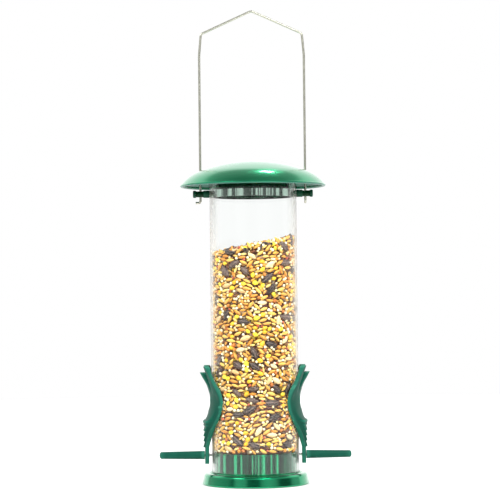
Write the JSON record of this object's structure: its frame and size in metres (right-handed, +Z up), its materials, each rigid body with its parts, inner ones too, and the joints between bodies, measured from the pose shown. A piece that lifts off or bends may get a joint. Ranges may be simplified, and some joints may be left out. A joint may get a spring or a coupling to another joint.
{
  "type": "hanging bird feeder",
  "caption": "Hanging tube bird feeder: clear seed tube on a pinned metal base, feeding ports with perches, and a domed roof that slides up a wire bail.",
  "frame": {"origin": "centre of the underside of the base", "axes": "+Z up the tube's axis; the ports, the perches and the bail's legs lie along X"},
  "size_m": [0.143, 0.1088, 0.3536],
  "materials": {
    "clear_plastic": "clear, glossy",
    "bright_metal": "bright",
    "green_lacquer": "metallic lacquer, glossy",
    "port_plastic": "satin",
    "dark_plastic": "glossy",
    "wire": "galvanised, dull",
    "steel": "plain",
    "seed": "dry mixed grain"
  },
  "bodies": {
    "feeder": {"tube": "clear_plastic", "collar_ring": "bright_metal", "peg_left": "dark_plastic", "peg_right": "dark_plastic", "peg_screws": "steel", "port_left": "port_plastic", "port_right": "port_plastic", "baffle_left": "port_plastic", "baffle_right": "port_plastic", "perch_left": "port_plastic", "perch_right": "port_plastic", "perch_rod": "steel", "base_shell": "green_lacquer", "base_core": "dark_plastic", "seed_fill": "seed"},
    "roof": {"roof_dome": "green_lacquer", "roof_plug": "dark_plastic", "roof_stud": "steel", "roof_washer": "steel", "roof_nut": "steel"},
    "bail": {"bail": "wire"}
  },
  "joints": [
    {"name": "roof_lift", "type": "slide", "parent": "feeder", "child": "roof", "axis": [0, 0, 1], "range_m": [0, 0.08]},
    {"name": "bail_slide", "type": "slide", "parent": "feeder", "child": "bail", "axis": [0, 0, 1], "range_m": [-0.008, 0.0025]}
  ]
}
